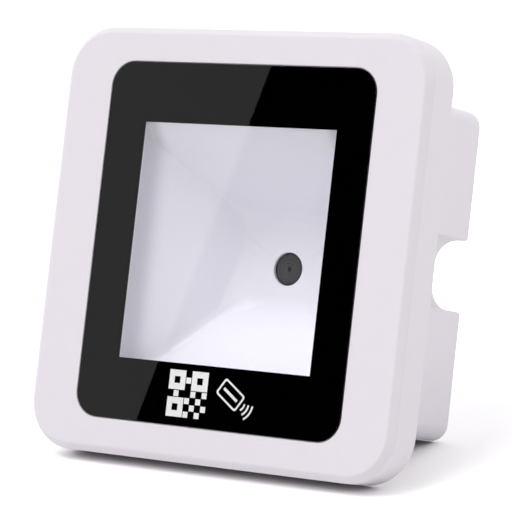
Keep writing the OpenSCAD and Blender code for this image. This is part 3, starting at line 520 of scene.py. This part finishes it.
class READER_OT_funnel(bpy.types.Operator):
    """Make the white funnel behind the window, with the camera's hole in its end plate"""
    bl_idname = "reader.make_funnel"
    bl_label = "Make funnel"

    def execute(self, context):
        s, c = in_millimetres(context), context.scene.reader_colours
        rim, end = FUNNEL_LOW.y, FUNNEL_HIGH.y - s.end_plate
        knee = rim + s.straight
        slope = end - knee
        mouth = (GASKET_HIGH.x - s.rim, GASKET_LOW.z + s.rim, GASKET_HIGH.z - s.rim)
        throat = (s.throat_half, LENS_Z - s.throat_bottom, LENS_Z + s.throat_top)
        neck = (mouth[0], mouth[1] + s.rise, mouth[2] - s.lip)

        def section(y, grow):
            """The funnel's section at a depth, rounded at the neck, with bevels that open to the throat."""
            turned = min(max(y - knee + s.neck_soft, 0.0), 2 * s.neck_soft)
            bend = turned ** 2 / (4 * s.neck_soft) + max(y - knee - s.neck_soft, 0.0)
            places = []
            for first, middle, last in zip(mouth, neck, throat):
                straight, sloping = (middle - first) / s.straight, (last - middle) / slope
                places.append(first + straight * (y - rim) + (sloping - straight) * bend)
            half, bottom, top = places
            late = max((y - knee) / slope - CUT_START, 0.0) / (1 - CUT_START)
            cut = s.corner_cut + late * (s.throat_cut - s.corner_cut)
            radius = s.crease + late * (s.throat_corner - s.crease)
            return cut_loop(bm, half + grow, bottom - grow, top + grow, cut, radius + grow, y)

        bm = bmesh.new()
        widening = knee + slope * CUT_START
        turns = [knee + s.neck_soft * (2 * k / NECK_STEPS - 1) for k in range(NECK_STEPS + 1)]
        inner = [section(y, 0.0) for y in (rim, *turns, widening, end)]
        count = len(inner[0])
        hole = round_loop(bm, s.lens_hole / 2, end, LENS_Z, count)
        hole_back = round_loop(bm, s.lens_hole / 2, FUNNEL_HIGH.y, LENS_Z, count)
        outer = [section(y, s.rim) for y in (FUNNEL_HIGH.y, widening, *reversed(turns), rim)]
        bridge(bm, inner + [hole, hole_back] + outer, closed=True)
        soften(bm, inner[-1], s.throat_soft, THROAT_STEPS)
        soften(bm, hole, s.rim_soft)
        front = FUNNEL_SCREW_LOW.y + s.screw_head
        self.flange(bm, s, [section(y, s.rim / 2) for y in (front, front + s.flange)], front)
        plastic = finish("funnel_plastic", c.funnel)
        # Painted shade: grey laid on the straight part of the funnel's sides near the window's rim.
        self.shade(plastic, c.funnel_painted_shade, mouth[0], knee)
        settle(bm, "funnel", plastic, ["reflector"])
        return {"FINISHED"}

    def shade(self, plastic, colour, half, knee):
        """Paint shade onto the straight part of the funnel's two sides: a grey that stands in for shade,
        fading out inward and behind the neck.
        """
        tree = plastic.node_tree
        base = tree.nodes["Principled BSDF"].inputs["Base Color"]
        place = tree.nodes.new("ShaderNodeTexCoord")
        parts = tree.nodes.new("ShaderNodeSeparateXYZ")
        tree.links.new(place.outputs["Object"], parts.inputs["Vector"])
        across = tree.nodes.new("ShaderNodeMath")
        across.operation = "ABSOLUTE"
        tree.links.new(parts.outputs["X"], across.inputs[0])
        ramps = (
            (across.outputs["Value"], [half - inward for inward in PAINTED_SHADE_ACROSS]),
            (parts.outputs["Y"], [knee + behind for behind in PAINTED_SHADE_ALONG]),
        )
        amount = None
        for value, (start, full) in ramps:
            ramp = tree.nodes.new("ShaderNodeMapRange")
            ramp.interpolation_type = "SMOOTHSTEP"
            ramp.inputs["From Min"].default_value = start * MM
            ramp.inputs["From Max"].default_value = full * MM
            tree.links.new(value, ramp.inputs["Value"])
            if amount:
                tree.links.new(amount, ramp.inputs["To Max"])
            amount = ramp.outputs["Result"]
        # Mix the painted shade grey into the funnel's colour by the two ramps.
        mix = blend(tree, amount, colour, colour)
        tree.links.new(base.links[0].from_socket, mix.inputs["A"])
        tree.links.new(mix.outputs["Result"], base)

    def flange(self, bm, s, inside, front):
        """The mounting flange around the funnel, with its side notches, screw holes and ribbon notch."""
        wide, high = FUNNEL_HIGH.x, FUNNEL_HIGH.z
        floor, half = s.groove_floor, s.groove_half
        notch, notch_top = s.ribbon_notch / 2, -high + s.notch_depth
        right = [(notch, notch_top, 0), (notch, -high, 0), (wide, -high, s.flange_corner), (wide, -half, 0),
                 (floor, -half, s.groove_round)]
        right += [(x, -z, radius) for x, z, radius in reversed(right[2:])]
        outline = outline_loop(bm, right + [(-x, z, radius) for x, z, radius in reversed(right)], front)
        screw_x = FUNNEL_SCREW_HIGH.x - s.screw_head_width / 2
        for x in (-screw_x, screw_x):
            for z in (-screw_x, screw_x):
                turn = Matrix.Translation((x, front, z)) @ Matrix.Rotation(math.pi / 2, 4, "X")
                made = bmesh.ops.create_circle(bm, segments=HOLE_STEPS, radius=s.screw_hole / 2, matrix=turn)
                outline += {e for v in made["verts"] for e in v.link_edges}
        grown = bmesh.ops.extrude_edge_only(bm, edges=outline)["geom"]
        far = [v for v in grown if isinstance(v, bmesh.types.BMVert)]
        bmesh.ops.translate(bm, vec=(0, s.flange, 0), verts=far)
        back = [e for e in grown if isinstance(e, bmesh.types.BMEdge) and all(v in far for v in e.verts)]
        bridge(bm, inside)
        for edges in (outline + inside[0], back + inside[1]):
            bmesh.ops.triangle_fill(bm, use_beauty=True, edges=edges, normal=(0, 1, 0))


class READER_OT_tub(bpy.types.Operator):
    """Make the moulded tub behind the bezel, with rounded rear edges and groove edges"""
    bl_idname = "reader.make_tub"
    bl_label = "Make tub"

    def execute(self, context):
        s, c = in_millimetres(context), context.scene.reader_colours
        bm = bmesh.new()
        bm.from_mesh(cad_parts["rear_housing"].data)
        bmesh.ops.scale(bm, vec=Vector((1, 1, 1)) / MM, verts=bm.verts)
        bmesh.ops.remove_doubles(bm, verts=bm.verts, dist=PACKED_MERGE)
        bmesh.ops.dissolve_limit(bm, angle_limit=FLAT_ANGLE, verts=bm.verts, edges=bm.edges)
        rear, foot = TUB_HIGH.y - NEAR, BEZEL_HIGH.y + NEAR
        low, high = SOCKET_LOW - SOCKET_FRAME, SOCKET_HIGH + SOCKET_FRAME
        sharp = [e for e in bm.edges if e.is_manifold and e.calc_face_angle() > RIM_ANGLE]
        rim = [
            e for e in sharp if all(v.co.y > rear for v in e.verts)
            and not all(low.x < v.co.x < high.x and low.z < v.co.z < high.z for v in e.verts)]
        lips = [
            e for e in sharp
            if max(v.co.y for v in e.verts) > rear and min(v.co.y for v in e.verts) < foot]
        soften(bm, rim + lips, s.tub_soft, TUB_STEPS)
        settle(bm, "tub_shell", shell_finish(c), ["rear_housing"])
        return {"FINISHED"}


class READER_OT_camera_parts(bpy.types.Operator):
    """Make the lens barrel with its ringed nose, and finish the camera parts behind it"""
    bl_idname = "reader.make_camera_parts"
    bl_label = "Make camera parts"

    def execute(self, context):
        s, c = in_millimetres(context), context.scene.reader_colours
        outer, bore = BARREL_HIGH.x, LENS_HIGH.x
        front, back = BARREL_LOW.y, BARREL_HIGH.y
        nose, hole = s.lens_hole / 2 - s.nose_gap, s.aperture / 2
        shoulder, face = front + s.nose_length, front + NOSE_SINK
        step, rear_bore = REAR_LENS_LOW.y, REAR_LENS_HIGH.x
        seat = LENS_LOW.y - LENS_PLAY
        profile = [
            (outer, back), (outer, shoulder), (nose, shoulder), (nose, front + NOSE_EDGE),
            (nose - NOSE_EDGE, front)]
        for radius in RING_RADII:
            profile += [
                (radius + RING_WIDTH, face), (radius + RING_WIDTH / 2, front + RING_DEPTH), (radius, face)]
        profile += [
            (CONE_RADIUS, face), (hole, front + CONE_DEPTH), (hole, seat), (bore, seat), (bore, step),
            (rear_bore, step), (rear_bore, back)]
        bm = bmesh.new()
        lathe(bm, profile)
        black = finish("camera_black", c.lens_black)
        settle(bm, "barrel", black, ["lens_barrel"])
        dress(clear("coated_lens", c.lens, LENS_INDEX), "front_lens", "rear_lens", "filter_glass")
        dress(black, "lens_mount", "buzzer")
        dress(finish("sensor", c.sensor), "image_sensor")
        return {"FINISHED"}


class READER_OT_boards(bpy.types.Operator):
    """Finish the boards, the components, the sockets and the screws inside"""
    bl_idname = "reader.make_boards"
    bl_label = "Finish boards"

    def execute(self, context):
        c = context.scene.reader_colours
        dress(finish("solder_mask", c.board), "main_board", "antenna_board")
        dress(finish("chip_moulding", c.chip), "processor_chip", "memory_chip", "radio_chip")
        dress(finish("screw_plating", c.steel), "board_screws", "reflector_screws")
        dress(finish("metal_can", c.can), "capacitors", "clock_crystal")
        dress(finish("ivory_plastic", c.socket), "cable_socket", "antenna_socket")
        dress(finish("pin_plating", c.pin), "socket_pins")
        dress(finish("copper_track", c.copper), "antenna_coil")
        dress(finish("ribbon_film", c.film), "antenna_ribbon")
        dress(finish("ferrite", c.ferrite), "power_coil")
        dress(finish("emitter", c.emitter), "light_emitters")
        return {"FINISHED"}


# The stage. Directions are an azimuth from the front and an elevation in degrees, places are in millimetres.
FLOOR_HALF = 1500.0
CONTACT_REACH = 7.0  # How far from the reader its contact shade on the floor reaches
CONTACT_SHADE = (("From Max", 0.24), ("To Min", 0.2), ("To Max", 1.28))
FILL_STRENGTH = 0.90
FILL_GAP = (45.0, 5.0)  # The direction in which the fill light fades out
FILL_GAP_POWER = 4.0
CARD_PLANE = -300.0
CARD_EDGE = ((-187.4, 79.7), (-224.5, -38.1))  # Two places on the slanted edge, as x and z
CARD_LEFT, CARD_RIGHT = -290.0, -110.0
CARD_TOP, CARD_BOTTOM = 110.0, -70.0
LOW_CARD = [(-220.0, -80.0), (-220.0, -270.0), (40.0, -270.0), (40.0, -80.0)]
PALE_LEVEL, DARK_LEVEL, LOW_LEVEL = 0.77, 0.0, 3.0
LAMPS = (  # Name, azimuth, elevation, spread in degrees and strength
    ("key", -16.0, 50.0, 28.0, 0.94),
    ("rim", 112.0, 14.0, 30.0, 0.3),
    ("front", 33.0, -15.0, 30.0, 0.12),
)
CAMERA_SIDE = (33.57, -3.19)
CAMERA_AIM = Vector((0.5, 2.6, -0.7))
CAMERA_DISTANCE = 555.0
CAMERA_ROLL = 6.42
CAMERA_LENS = 196.5
CAMERA_SENSOR = 36.0
CAMERA_CLIP = 10.0


def toward(azimuth, elevation):
    """The direction at an azimuth from the front and an elevation, both in degrees."""
    a, e = math.radians(azimuth), math.radians(elevation)
    return Vector((math.sin(a) * math.cos(e), -math.cos(a) * math.cos(e), math.sin(e)))


def look_back(thing, away, roll=0.0):
    """Turn a lamp or the camera to look back along a direction, rolled by degrees."""
    thing.rotation_mode = "QUATERNION"
    thing.rotation_quaternion = (
        (-away).to_track_quat("-Z", "Y") @ Quaternion((0, 0, 1), math.radians(roll)))


class READER_OT_stage(bpy.types.Operator):
    """Set the floor, the white surroundings, the cards, the lamps and the camera"""
    bl_idname = "reader.make_stage"
    bl_label = "Make stage"

    def execute(self, context):
        scene, c = context.scene, context.scene.reader_colours
        scene.view_settings.view_transform = "Standard"
        self.floor(c)
        self.surroundings(scene)
        self.reflected_cards()
        self.lamps(scene)
        self.camera(scene)
        return {"FINISHED"}

    def floor(self, colours):
        """A pale one-sided floor that leans with the reader, which rests on its lower back edges."""
        rise = TUB_INSET / TUB_HIGH.y
        bm = bmesh.new()
        bmesh.ops.create_grid(bm, x_segments=1, y_segments=1, size=FLOOR_HALF * MM)
        lean = Matrix.Translation((0, 0, BEZEL_LOW.z * MM)) @ Matrix.Rotation(math.atan(rise), 4, "X")
        bmesh.ops.transform(bm, matrix=lean, verts=bm.verts)
        material = finish("floor_paper", colours.floor)
        tree = material.node_tree
        near = tree.nodes.new("ShaderNodeAmbientOcclusion")
        near.inputs["Distance"].default_value = CONTACT_REACH * MM
        contact = tree.nodes.new("ShaderNodeMapRange")
        for name, value in CONTACT_SHADE:
            contact.inputs[name].default_value = value
        tree.links.new(near.outputs["AO"], contact.inputs["Value"])
        seen = tree.nodes.new("ShaderNodeBsdfDiffuse")
        tree.links.new(contact.outputs["Result"], seen.inputs["Color"])
        light = tree.nodes.new("ShaderNodeLightPath")
        side = tree.nodes.new("ShaderNodeNewGeometry")
        through = tree.nodes.new("ShaderNodeBsdfTransparent")
        paper = tree.nodes["Principled BSDF"].outputs["BSDF"]
        front = shader_mix(tree, light.outputs["Is Camera Ray"], paper, seen.outputs["BSDF"])
        whole = shader_mix(tree, side.outputs["Backfacing"], front, through.outputs["BSDF"])
        tree.links.new(whole, tree.nodes["Material Output"].inputs["Surface"])
        plane = put(bm, "floor", material)

    def surroundings(self, scene):
        """White surroundings whose fill light fades toward the side of the camera."""
        world = bpy.data.worlds.new("surroundings")
        world.use_nodes = True
        scene.world = world
        tree = world.node_tree
        seen = tree.nodes["Background"]
        fill = tree.nodes.new("ShaderNodeBackground")
        for background in (seen, fill):
            background.inputs["Color"].default_value = (1, 1, 1, 1)
        seen.inputs["Strength"].default_value = 1.0
        place = tree.nodes.new("ShaderNodeTexCoord")
        near = tree.nodes.new("ShaderNodeVectorMath")
        near.operation = "DOT_PRODUCT"
        near.inputs[1].default_value = toward(*FILL_GAP)
        tree.links.new(place.outputs["Generated"], near.inputs[0])
        value = near.outputs["Value"]
        steps = (
            ("MAXIMUM", 0.0), ("POWER", FILL_GAP_POWER), ("MULTIPLY", -FILL_STRENGTH), ("ADD", FILL_STRENGTH))
        for operation, amount in steps:
            step = tree.nodes.new("ShaderNodeMath")
            step.operation = operation
            step.inputs[1].default_value = amount
            tree.links.new(value, step.inputs[0])
            value = step.outputs["Value"]
        tree.links.new(value, fill.inputs["Strength"])
        light = tree.nodes.new("ShaderNodeLightPath")
        total = light.outputs["Is Camera Ray"]
        for name in ("Is Glossy Ray", "Is Transmission Ray"):
            either = tree.nodes.new("ShaderNodeMath")
            either.operation = "MAXIMUM"
            tree.links.new(total, either.inputs[0])
            tree.links.new(light.outputs[name], either.inputs[1])
            total = either.outputs["Value"]
        whole = shader_mix(tree, total, fill.outputs["Background"], seen.outputs["Background"])
        tree.links.new(whole, tree.nodes["World Output"].inputs["Surface"])

    def reflected_cards(self):
        """Cards in front that only the glass shows.

        Two have a slanted edge between them, which the glass reflects. A low one brightens the funnel
        through the window.
        """
        (upper_x, upper_z), (lower_x, lower_z) = CARD_EDGE
        lean = (upper_x - lower_x) / (upper_z - lower_z)
        edge = [(upper_x + lean * (z - upper_z), z) for z in (CARD_TOP, CARD_BOTTOM)]
        plan = (
            ("pale_card", edge + [(CARD_LEFT, CARD_BOTTOM), (CARD_LEFT, CARD_TOP)], PALE_LEVEL, True),
            ("dark_card", edge + [(CARD_RIGHT, CARD_BOTTOM), (CARD_RIGHT, CARD_TOP)], DARK_LEVEL, True),
            ("low_card", LOW_CARD, LOW_LEVEL, False),
        )
        for name, outline, level, mirrored in plan:
            bm = bmesh.new()
            bm.faces.new([bm.verts.new((x * MM, CARD_PLANE * MM, z * MM)) for x, z in outline])
            material, _, shader = graph(name)
            shader.inputs["Base Color"].default_value = (0, 0, 0, 1)
            shader.inputs["Specular IOR Level"].default_value = 0.0
            shader.inputs["Emission Color"].default_value = (1, 1, 1, 1)
            shader.inputs["Emission Strength"].default_value = level
            card = put(bm, name, material)
            card.visible_camera = card.visible_diffuse = card.visible_shadow = False
            card.visible_volume_scatter = False
            card.visible_glossy = mirrored

    def lamps(self, scene):
        """Three wide soft lamps.

        One is high in front to the left, and weak ones are behind to the right and low in front.
        """
        for name, azimuth, elevation, spread, strength in LAMPS:
            data = bpy.data.lights.new(name, "SUN")
            data.angle = math.radians(spread)
            data.energy = strength
            lamp = bpy.data.objects.new(name, data)
            lamp.location = toward(azimuth, elevation)
            look_back(lamp, toward(azimuth, elevation))
            scene.collection.objects.link(lamp)

    def camera(self, scene):
        """The camera: front right, a little low, with a long lens and a slight roll."""
        away = toward(*CAMERA_SIDE)
        data = bpy.data.cameras.new("camera")
        data.lens = CAMERA_LENS
        data.sensor_width = CAMERA_SENSOR
        data.clip_start = CAMERA_CLIP * MM
        view = bpy.data.objects.new("camera", data)
        view.location = CAMERA_AIM * MM + away * CAMERA_DISTANCE * MM
        look_back(view, away, CAMERA_ROLL)
        scene.collection.objects.link(view)
        scene.camera = view


class READER_PT_panel(bpy.types.Panel):
    """The reader's sizes, colours and steps in the sidebar of the 3D view."""
    bl_idname = "READER_PT_panel"
    bl_label = "Wall code reader"
    bl_space_type = "VIEW_3D"
    bl_region_type = "UI"
    bl_category = "Reader"

    def draw(self, context):
        layout = self.layout
        for group in (context.scene.reader_sizes, context.scene.reader_colours):
            column = layout.column()
            for name in group.__annotations__:
                column.prop(group, name)
        for step in STEPS:
            layout.operator(step.bl_idname)


STEPS = (READER_OT_bezel, READER_OT_glass, READER_OT_funnel, READER_OT_tub, READER_OT_camera_parts,
         READER_OT_boards, READER_OT_stage)
CLASSES = (ReaderSizes, ReaderColours) + STEPS + (READER_PT_panel,)


def register():
    for cls in CLASSES:
        bpy.utils.register_class(cls)
    bpy.types.Scene.reader_sizes = bpy.props.PointerProperty(type=ReaderSizes)
    bpy.types.Scene.reader_colours = bpy.props.PointerProperty(type=ReaderColours)


def unregister():
    del bpy.types.Scene.reader_colours
    del bpy.types.Scene.reader_sizes
    for cls in reversed(CLASSES):
        bpy.utils.unregister_class(cls)


def main():
    register()
    bpy.ops.reader.make_bezel()
    bpy.ops.reader.make_glass()
    bpy.ops.reader.make_funnel()
    bpy.ops.reader.make_tub()
    bpy.ops.reader.make_camera_parts()
    bpy.ops.reader.make_boards()
    bpy.ops.reader.make_stage()


if __name__ == "__main__":
    main()
